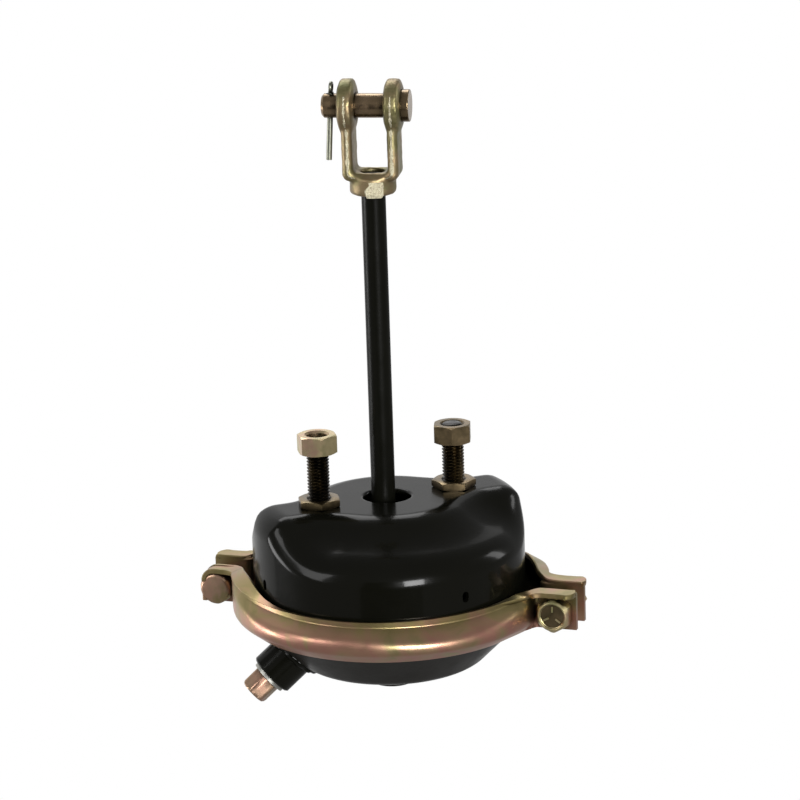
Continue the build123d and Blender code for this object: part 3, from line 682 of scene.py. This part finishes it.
def wrapped_tip(ear_end, top):
    """Ear flange bent down round the tip of the ear, from its foot up to the top."""
    corner = TIP_CORNER
    heights = (-66.0, -63.0, -59.0, top - corner - 1.0)
    tip = [((ear_end, FLANGE_FOOT_Y, z), (ear_end, FLANGE_Y - 0.8, z)) for z in heights]
    for angle in np.radians([0, 15, 30, 45, 60, 75, 90]):
        x = ear_end - corner + corner * math.cos(angle)
        z = top - corner + corner * math.sin(angle)
        tip.append(((x, FLANGE_FOOT_Y, z), (x, FLANGE_Y, z)))
    return tip


def square_tip(ear_end, top):
    """Flat ear flange that ends in a rounded corner."""
    return [
        ((ear_end - 1.2, FLANGE_FOOT_Y, top), (ear_end, 9.5, top)),
        ((ear_end - 1.6, FLANGE_FOOT_Y, top), (ear_end - 0.6, 13.2, top)),
        ((ear_end - 3.0, FLANGE_FOOT_Y, top), (ear_end - 2.6, FLANGE_Y, top)),
        ((ear_end - 8.0, FLANGE_FOOT_Y, top), (ear_end - 7.0, FLANGE_Y, top)),
    ]


def strip_edges(ear_end, strip, top, tip):
    """Inner and outer edge of the top strip, from the ear's tip to where it is only the lip."""
    dished = 1.0 if strip is LONG_STRIP else 0.0
    edges = tip(ear_end, top) + [
        ((90.0, 6.1, top), (92.0, FLANGE_Y, top)),
        ((85.0, 6.9, top + 0.4 * dished), (88.2, FLANGE_Y + 0.4, top)),
        ((80.8, 13.0 - 2 * dished, top + 1.6 * dished), (84.8, 17.6, top - 0.1)),
    ]
    for angle, (inner_r, inner_z, outer_r, outer_z) in strip.items():
        c, s = math.cos(math.radians(angle)), math.sin(math.radians(angle))
        edges.append(((inner_r * c, inner_r * s, inner_z), (outer_r * c, outer_r * s, outer_z)))
    edges = np.array(edges)
    length = np.concatenate(([0], np.cumsum(np.linalg.norm(np.diff(edges.mean(axis=1), axis=0), axis=1))))
    return np.array([glide(length, edges, at) for at in np.linspace(0, length[-1], 120)])


def strip_loft(ear_end, strip, top, tip):
    """Thick top strip of one end of a half."""
    edges = strip_edges(ear_end, strip, top, tip)
    inner, outer = edges[:, 0], edges[:, 1]
    across = outer - inner
    inward = np.cross(np.gradient((inner + outer) / 2, axis=0), across)
    inward /= np.linalg.norm(inward, axis=1)[:, None]
    share = np.linspace(0, 1, len(edges))[:, None]
    depth = inward * (CLAMP_T - (CLAMP_T - 1.6) * smooth_step((share - 0.5) / 0.4))
    lip = across * 0.06
    outline = [
        inner + depth * 0.8,
        inner + depth * 0.2,
        inner + lip,
        outer - lip,
        outer + depth * 0.2,
        outer + depth * 0.8,
        outer - lip + depth,
        inner + lip + depth,
    ]
    return np.stack(outline, axis=1)


def loft_mesh(rows):
    """Verts and faces of closed sections joined in a row, capped at both ends."""
    count = rows.shape[1]
    faces = grid_faces(rows.shape[0], count)
    faces.append(tuple(range(count)))
    last = (rows.shape[0] - 1) * count
    faces.append(tuple(range(last + count - 1, last - 1, -1)))
    return rows.reshape(-1, 3), faces


def joined(parts):
    """Several verts-and-faces pairs as one."""
    verts, faces = [], []
    for part_verts, part_faces in parts:
        base = sum(len(v) for v in verts)
        verts.append(np.asarray(part_verts))
        faces += [tuple(base + i for i in face) for face in part_faces]
    return np.concatenate(verts), faces


def turned(points, angle):
    """Points turned about the Z axis."""
    points = np.asarray(points, float)
    c, s = math.cos(angle), math.sin(angle)
    x = points[:, 0] * c - points[:, 1] * s
    y = points[:, 0] * s + points[:, 1] * c
    return np.stack((x, y, points[:, 2]), axis=1)


def clamp_half(node, turn, ear_ends, ends, strips, tops, tips):
    """One pressed half of the clamp ring, its own side on -Y of the lug line."""
    parts = [loft_mesh(wall_loft(ear_ends, ends, tips))]
    for side, ear_end, strip, top, tip in zip((-1, 1), ear_ends, strips, tops, tips):
        parts.append(loft_mesh(strip_loft(ear_end, strip, top, tip) * (side, -1, 1)))
    verts, faces = joined(parts)
    return new_object(node + "_pressed", turned(verts, turn) * MM, faces, node, 32)


# ---------------------------------------------------------------- threads, studs and nuts
def thread_rows(crest, depth, low, high, pitch, columns=40):
    """Rows of a threaded surface about the Z axis."""
    per_turn = 8
    count = int((high - low) / pitch * per_turn) + 1
    z = np.linspace(low, high, count)[:, None]
    turn = np.linspace(0, 2 * math.pi, columns, endpoint=False)[None, :]
    phase = (z / pitch - turn / (2 * math.pi)) % 1
    valley = np.clip(2.4 * np.abs(phase - 0.5) - 0.1, 0, 1)
    radius = crest - depth * (1 - valley)
    return np.stack((radius * np.cos(turn), radius * np.sin(turn), z + 0 * turn), axis=-1)


def capped(rows, centre=(0, 0)):
    """Closed round solid from rows, flat at both ends."""
    columns = rows.shape[1]
    faces = grid_faces(len(rows), columns)
    last = (len(rows) - 1) * columns
    faces.append(tuple(range(columns))[::-1])
    faces.append(tuple(range(last, last + columns)))
    return rows.reshape(-1, 3) + (centre[0], centre[1], 0), faces


# Radius and height of the stud's head and neck, from its underside up.
STUD_HEAD = ((9.1, -10.7), (10, -9.8), (10, -7.2), (5.6, -7.2), (5.6, -4.0))


def stud(node, x, top):
    """Mounting stud with its thread drawn, on the head it has inside the housing."""
    columns = 40
    head = [ring(r, z, columns)[None] for r, z in STUD_HEAD]
    thread = thread_rows(THREAD_CREST_R, THREAD_DEPTH, -3.8, top - 1.0, THREAD_PITCH, columns)
    tip = [ring(5.2, top - 0.5, columns)[None], ring(4.6, top, columns)[None]]
    verts, faces = capped(np.concatenate(head + [thread] + tip), (x, 0))
    return new_object(node + "_threaded", verts * MM, faces, node, 50)


# ---------------------------------------------------------------- clamp bolts
def on_lug(points):
    """Lug-line points, mm, to the frame in metres."""
    return turned(points, LUG_AZIMUTH) * MM


# Head profile of a bolt as height over its face and radius, before the six flats cut it.
PLAIN_HEAD = ((0, 6.6), (0.15, 7.2), (0.6, 8.0), (1.4, 8.6), (2.8, 9.2), (6.8, 9.2))
DISHED_HEAD = (
    (0.5, 6.2),
    (0.35, 6.5),
    (-0.2, 6.8),
    (-0.35, 7.2),
    (-0.2, 7.7),
    (0.4, 8.3),
    (1.3, 9.2),
    (2.6, 10.2),
    (6.8, 10.2),
)
SHANK_END = 25.0
BOLT_END = 35.8
THREAD_STEP = 0.22


def hexagon(turn, half_across):
    """Radius of a hexagon at each turn, with the middle of a flat at turn 0."""
    return half_across / np.cos((turn + math.pi / 6) % (math.pi / 3) - math.pi / 6)


def clamp_bolt(node, x, profile):
    """Hexagon bolt on the lug's cross line, its head in front and its thread behind."""
    columns = 72
    turn = np.linspace(0, 2 * math.pi, columns, endpoint=False)
    flat = hexagon(turn, BOLT_HALF_AF)
    rings = [(height, np.minimum(flat, radius)) for height, radius in profile]
    rings += [(BOLT_HEAD_H, np.full(columns, BOLT_R)), (SHANK_END, np.full(columns, BOLT_R))]
    for step in range(48):
        groove = 0.4 * (0.5 - 0.5 * math.cos(step * 0.92))
        rings.append((SHANK_END + step * THREAD_STEP, 4.95 - groove + 0 * turn))
    rings.append((BOLT_END, np.full(columns, 4.2)))
    rows = []
    for height, radius in rings:
        across = x + radius * np.cos(turn)
        along = HEAD_Y + height + 0 * turn
        rows.append(np.stack((across, along, BOLT_Z + radius * np.sin(turn)), axis=-1))
    verts, faces = capped(np.array(rows))
    return new_object(node + "_turned", on_lug(verts), faces, node, 24)


def head_face(x):
    """Floor of the dished head in the darker zinc: painted shade in the recess."""
    turn = np.linspace(0, 2 * math.pi, 40, endpoint=False)
    verts = [(x + 6.3 * math.cos(t), HEAD_Y + 0.45, BOLT_Z + 6.3 * math.sin(t)) for t in turn]
    return extra_object("head_face_right", on_lug(verts), [tuple(range(40))], "clamp_bolt_right", 30, "shaded_zinc")


def grade_marks(name, node, x):
    """Three raised radial strokes on a bolt head."""
    parts = []
    for angle in np.radians([88, 208, -36]):
        out = np.array([math.cos(angle), math.sin(angle)])
        across = np.array([-out[1], out[0]])
        verts = []
        for y in (HEAD_Y + 0.6, HEAD_Y + 0.05):
            for along, aside in ((2.2, -0.5), (5.4, -0.5), (5.4, 0.5), (2.2, 0.5)):
                spot = out * along + across * aside
                verts.append((x + spot[0], y, BOLT_Z + spot[1]))
        faces = [(0, 1, 2, 3), (7, 6, 5, 4), (0, 4, 5, 1), (1, 5, 6, 2), (2, 6, 7, 3), (3, 7, 4, 0)]
        parts.append((np.array(verts), faces))
    verts, faces = joined(parts)
    return extra_object(name, on_lug(verts), faces, node, 20)


# ---------------------------------------------------------------- side port
def bowl_distance(radius, z):
    """Signed distance to the outer skin of the bowl, in its section."""
    run = BOWL_HIP[0] - BOWL_FOOT_R
    rise = BOWL_HIP[1] - BOWL_Z
    side = ((radius - BOWL_FOOT_R) * rise - (z - BOWL_Z) * run) / math.hypot(run, rise)
    return round_and(side, BOWL_Z - z, 4)


def port_frame():
    """Centre of the side boss's face in mm, its outward axis and two axes across it."""
    ahead, beside = math.cos(PORT_AZIMUTH), math.sin(PORT_AZIMUTH)
    face = np.array([PORT_FACE_R * ahead, PORT_FACE_R * beside, PORT_FACE_Z])
    level = math.cos(PORT_DIP)
    out = np.array([ahead * level, beside * level, -math.sin(PORT_DIP)])
    aside = np.cross(out, (0, 0, 1))
    aside /= np.linalg.norm(aside)
    return face, out, aside, np.cross(aside, out)


# Height over the boss's face and largest radius of the plug, from its inner end outwards.
PLUG_PROFILE = (
    (-10.0, 5.4),
    (2.0, 5.4),
    (2.0, 7.2),
    (2.4, 8.1),
    (11.6, 8.1),
    (12.6, 7.5),
    (13.3, 6.7),
    (13.5, 6.0),
)


def port_plug():
    """Hexagon plug: chamfered head over the washer and a plain shank in the boss."""
    face, out, aside, up = port_frame()
    points = np.array([vertex.co for vertex in NODES["port_plug"].data.vertices]) / MM - face
    corner = points[np.argmax(np.linalg.norm(points - np.outer(points @ out, out), axis=1))]
    corner_turn = math.atan2(corner @ up, corner @ aside)
    turn = np.linspace(0, 2 * math.pi, 72, endpoint=False)
    flat = hexagon(turn - corner_turn + math.pi / 6, PLUG_HALF_AF)
    rays = np.cos(turn)[:, None] * aside + np.sin(turn)[:, None] * up
    rows = []
    for height, limit in PLUG_PROFILE:
        radius = np.minimum(flat, limit)[:, None]
        rows.append(face + out * height + radius * rays)
    verts, faces = capped(np.array(rows))
    return new_object("hexagon_plug", verts * MM, faces, "port_plug", 28)


def weld_bead():
    """Bead that runs round the foot of the side boss, fuller on its lower side."""
    face, out, aside, up = port_frame()
    columns, rows = 72, 9
    bead_depth = 20.5
    centres, rays = [], []
    for turn in np.linspace(0, 2 * math.pi, columns, endpoint=False):
        ray = aside * math.cos(turn) + up * math.sin(turn)
        near, far = 0.0, 40.0
        for _ in range(24):
            depth = (near + far) / 2
            spot = face + ray * BOSS_R - out * depth
            inside = bowl_distance(math.hypot(spot[0], spot[1]), spot[2]) < 0
            near, far = (near, depth) if inside else (depth, far)
        centres.append(face + ray * BOSS_R - out * min(near, bead_depth))
        rays.append(ray)
    verts = []
    for angle in np.linspace(0, 2 * math.pi, rows, endpoint=False):
        for i, (centre, ray) in enumerate(zip(centres, rays)):
            size = 2.9 + 0.35 * math.sin(i * 1.05) + 0.3 * math.sin(i * 0.4) - 1.1 * ray[2]
            verts.append(centre + ray * size * math.cos(angle) + out * size * 0.8 * math.sin(angle))
    faces = grid_faces(rows, columns, closed_rows=True)
    return extra_object("weld_bead", np.array(verts) * MM, faces, "side_port_boss", 60)


# ---------------------------------------------------------------- clevis details
def on_clevis(points):
    """Points in the clevis' own frame, pin along X, mm, to the frame in metres."""
    return (turned(points, PIN_TURN) + (ROD_X, 0, 0)) * MM


def forged_clevis():
    """The clevis with the rounded edges and uneven skin of a forging."""
    obj = bpy.data.objects.new("clevis_forging", NODES["clevis"].data.copy())
    bpy.context.scene.collection.objects.link(obj)
    remesh = obj.modifiers.new("even_mesh", "REMESH")
    remesh.mode = "VOXEL"
    remesh.voxel_size = 0.85 * MM
    smooth = obj.modifiers.new("round_edges", "SMOOTH")
    smooth.factor = 0.5
    smooth.iterations = 7
    obj.data = settled(obj)
    for vertex in obj.data.vertices:
        dent = noise.noise(vertex.co * 160) * 0.16 + noise.noise(vertex.co * 420) * 0.10
        vertex.co += vertex.normal * dent * MM
    obj.data.shade_smooth()
    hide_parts("clevis")
    return carried(obj, "clevis")


def flash_line(side):
    """Trimmed forging flash down the front of one eye and arm, left a little proud; its bright metal is
    partly a painted highlight for the glint along the front.
    """
    arm_x = side * 11.6
    path = []
    for angle in np.radians(np.arange(30, -46, -5)):
        path.append((side * 12.0, -14.05 * math.cos(angle), PIN_Z + 14.05 * math.sin(angle)))
    for z in np.arange(PIN_Z - 13, PIN_Z - 34, -1.4):
        path.append((arm_x, -10.05, z))
    path.append((side * 10.6, -10.05, PIN_Z - 35.4))
    path.append((side * 8.4, -10.0, PIN_Z - 36.4))
    rng = np.random.default_rng(11 + side)
    verts = []
    for spot in path:
        half = 0.85 + rng.uniform(-0.35, 0.35)
        proud = 0.20 + rng.uniform(-0.10, 0.15)
        section = ((-half, 0.3), (0, -proud), (half, 0.3))
        verts += [(spot[0] + aside, spot[1] + back, spot[2]) for aside, back in section]
    faces = []
    for i in range(len(path) - 1):
        a = 3 * i
        faces += [(a, a + 1, a + 4, a + 3), (a + 1, a + 2, a + 5, a + 4)]
    name = "flash_line_" + ("right" if side > 0 else "left")
    return extra_object(name, on_clevis(verts), faces, "clevis", 60, "ground_and_glint")


def ground_and_glint_patch():
    """Rough patch of bared metal on the front of the collar; its brightness is partly a painted highlight for
    the collar's glint.
    """
    columns, rows = 15, 14
    rng = np.random.default_rng(5)
    centre = math.radians(-80)
    verts, faces = [], []
    for j in range(rows):
        share = j / (rows - 1)
        wide = math.radians(24 + 3 * math.sin(7 * share)) * (0.75 + 0.25 * math.sin(math.pi * share))
        for i in range(columns):
            angle = centre + wide * (i / (columns - 1) - 0.5) * 2 + math.radians(6) * share
            angle += math.radians(2.5) * math.sin(9 * share + i)
            edge = i in (0, columns - 1) or j in (0, rows - 1)
            radius = COLLAR_R if edge else PATCH_R + rng.uniform(-0.08, 0.08)
            z = PIN_Z - 46.4 + 8.6 * share
            verts.append((radius * math.cos(angle), radius * math.sin(angle), z))
    for j in range(rows - 1):
        for i in range(columns - 1):
            a = j * columns + i
            faces.append((a, a + 1, a + columns + 1, a + columns))
    return extra_object("ground_and_glint_patch", on_clevis(verts), faces, "clevis", 60, "ground_and_glint")


# ---------------------------------------------------------------- the pieces
upper_housing()
LEFT_EAR_X = 102.2
RIGHT_EAR_X = 105.8
front_ears = (LEFT_EAR_X, RIGHT_EAR_X)
rear_ears = (RIGHT_EAR_X, LEFT_EAR_X)
front_tips = (wrapped_tip, square_tip)
rear_tips = (square_tip, square_tip)
ends = (LONG_END, SHORT_END)
strips = (LONG_STRIP, SHORT_STRIP)
clamp_half("clamp_front", LUG_AZIMUTH, front_ears, ends, strips, (-47.8, -46.6), front_tips)
clamp_half("clamp_rear", LUG_AZIMUTH + math.pi, rear_ears, ends, strips, (-46.4, -46.8), rear_tips)
stud("stud_left", -STUD_X, STUD_TOP_Z)
stud("stud_right", STUD_X, STUD_TOP_Z)
clamp_bolt("clamp_bolt_left", -BOLT_X, PLAIN_HEAD)
clamp_bolt("clamp_bolt_right", BOLT_X, DISHED_HEAD)
head_face(BOLT_X)
port_plug()
softened("base_nut_left", 0.5)
softened("base_nut_right", 0.5)
forged_clevis()
grade_marks("grade_marks_right", "clamp_bolt_right", BOLT_X)
weld_bead()
flash_line(-1)
flash_line(1)
ground_and_glint_patch()

# ---------------------------------------------------------------- stage, lamps and camera
def plane(name, size, location, rotation, colour, strength):
    """Glowing square of the stage, seen from its front and clear from behind."""
    mesh = bpy.data.meshes.new(name)
    h = size / 2
    mesh.from_pydata([(-h, -h, 0), (h, -h, 0), (h, h, 0), (-h, h, 0)], [], [(0, 1, 2, 3)])
    obj = bpy.data.objects.new(name, mesh)
    obj.location = location
    obj.rotation_euler = rotation
    bpy.context.scene.collection.objects.link(obj)
    mat = bpy.data.materials.new(name)
    mat.use_nodes = True
    mat.node_tree.nodes.clear()
    out = mat.node_tree.nodes.new("ShaderNodeOutputMaterial")
    clear = mat.node_tree.nodes.new("ShaderNodeBsdfTransparent")
    side = mat.node_tree.nodes.new("ShaderNodeNewGeometry")
    choice = mat.node_tree.nodes.new("ShaderNodeMixShader")
    glow = mat.node_tree.nodes.new("ShaderNodeEmission")
    glow.inputs["Color"].default_value = (*colour, 1)
    glow.inputs["Strength"].default_value = strength
    mat.node_tree.links.new(side.outputs["Backfacing"], choice.inputs[0])
    mat.node_tree.links.new(glow.outputs["Emission"], choice.inputs[1])
    mat.node_tree.links.new(clear.outputs["BSDF"], choice.inputs[2])
    mat.node_tree.links.new(choice.outputs["Shader"], out.inputs["Surface"])
    mesh.materials.append(mat)
    return obj


def surround():
    """White shell that only the camera sees, so that every view has a clean background."""
    bm = bmesh.new()
    bmesh.ops.create_icosphere(bm, subdivisions=3, radius=7.0)
    bmesh.ops.reverse_faces(bm, faces=bm.faces)
    shell = plane("surround", 1.0, (0, 0, 0), (0, 0, 0), (1, 1, 1), 1.0)
    bm.to_mesh(shell.data)
    bm.free()
    shell.visible_diffuse = False
    shell.visible_glossy = False
    shell.visible_shadow = False


floor = plane("floor", 9.0, (0, 1.5, -0.62), (0, 0, 0), (1, 1, 1), 1.0)
floor.visible_glossy = False
plane("backdrop", 9.0, (0, 4.2, 1.0), (math.radians(90), 0, 0), (1, 1, 1), 1.0)
surround()
plane("dark_card", 3.2, (-1.2, -3.4, 0.2), (math.radians(-78), 0, math.radians(-20)), (0.02, 0.02, 0.02), 1.0)

world = bpy.data.worlds.new("studio")
bpy.context.scene.world = world
world.use_nodes = True
world.node_tree.nodes["Background"].inputs["Color"].default_value = (0.55, 0.55, 0.56, 1)
world.node_tree.nodes["Background"].inputs["Strength"].default_value = 0.7


def area(name, location, target, size, power):
    """Rectangular lamp that looks at its target."""
    lamp = bpy.data.lights.new(name, "AREA")
    lamp.shape = "RECTANGLE"
    lamp.size, lamp.size_y = size
    lamp.energy = power
    obj = bpy.data.objects.new(name, lamp)
    obj.location = location
    aim = Vector(target) - Vector(location)
    obj.rotation_mode = "QUATERNION"
    obj.rotation_quaternion = aim.to_track_quat("-Z", "Y")
    bpy.context.scene.collection.objects.link(obj)


area("front", (-0.06, -2.2, 0.42), (0, 0, -0.03), (0.60, 0.90), 76)
area("key_left", (-2.1, -0.3, 0.9), (0, 0, 0.05), (0.5, 1.1), 14)
area("fill_right", (2.1, -0.1, 0.8), (0, 0, 0.05), (0.4, 1.0), 10)
area("low_left", (-2.0, 1.0, -0.30), (0, 0, -0.03), (0.8, 0.5), 16)
area("top", (0.2, 1.4, 1.6), (0, 0, 0), (1.4, 0.8), 18)

CAMERA_PLACE = Vector((-0.66475, -1.79259, 0.58902))
CAMERA_RIGHT = Vector((0.93606, -0.35184, 0.0))
CAMERA_UP = Vector((0.09580, 0.25487, 0.96222))
CAMERA_BACK = Vector((-0.33855, -0.90069, 0.27228))
CAMERA_ROLL = math.radians(1.83)

camera = bpy.data.objects.new("camera", bpy.data.cameras.new("camera"))
bpy.context.scene.collection.objects.link(camera)
x_axis = CAMERA_RIGHT * math.cos(CAMERA_ROLL) - CAMERA_UP * math.sin(CAMERA_ROLL)
y_axis = CAMERA_RIGHT * math.sin(CAMERA_ROLL) + CAMERA_UP * math.cos(CAMERA_ROLL)
columns = (x_axis, y_axis, CAMERA_BACK, CAMERA_PLACE)
camera.matrix_world = Matrix([[column[row] for column in columns] for row in range(3)] + [[0, 0, 0, 1]])
camera.data.sensor_width = 36
camera.data.lens = 170.1
camera.data.clip_start = 0.05
camera.data.clip_end = 50
bpy.context.scene.camera = camera
bpy.context.scene.view_settings.view_transform = "Standard"

# ---------------------------------------------------------------- spring and diaphragm
spring = bpy.data.objects.new("coil_spring", NODES["return_spring"].data.copy())
bpy.context.scene.collection.objects.link(spring)
tidy(spring, 60)
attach(spring, "chamber")
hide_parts("return_spring")
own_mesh(spring)

web = bpy.data.objects.new("diaphragm_rubber", NODES["diaphragm"].data.copy())
bpy.context.scene.collection.objects.link(web)
tidy(web, 40)
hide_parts("diaphragm")
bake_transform(web)
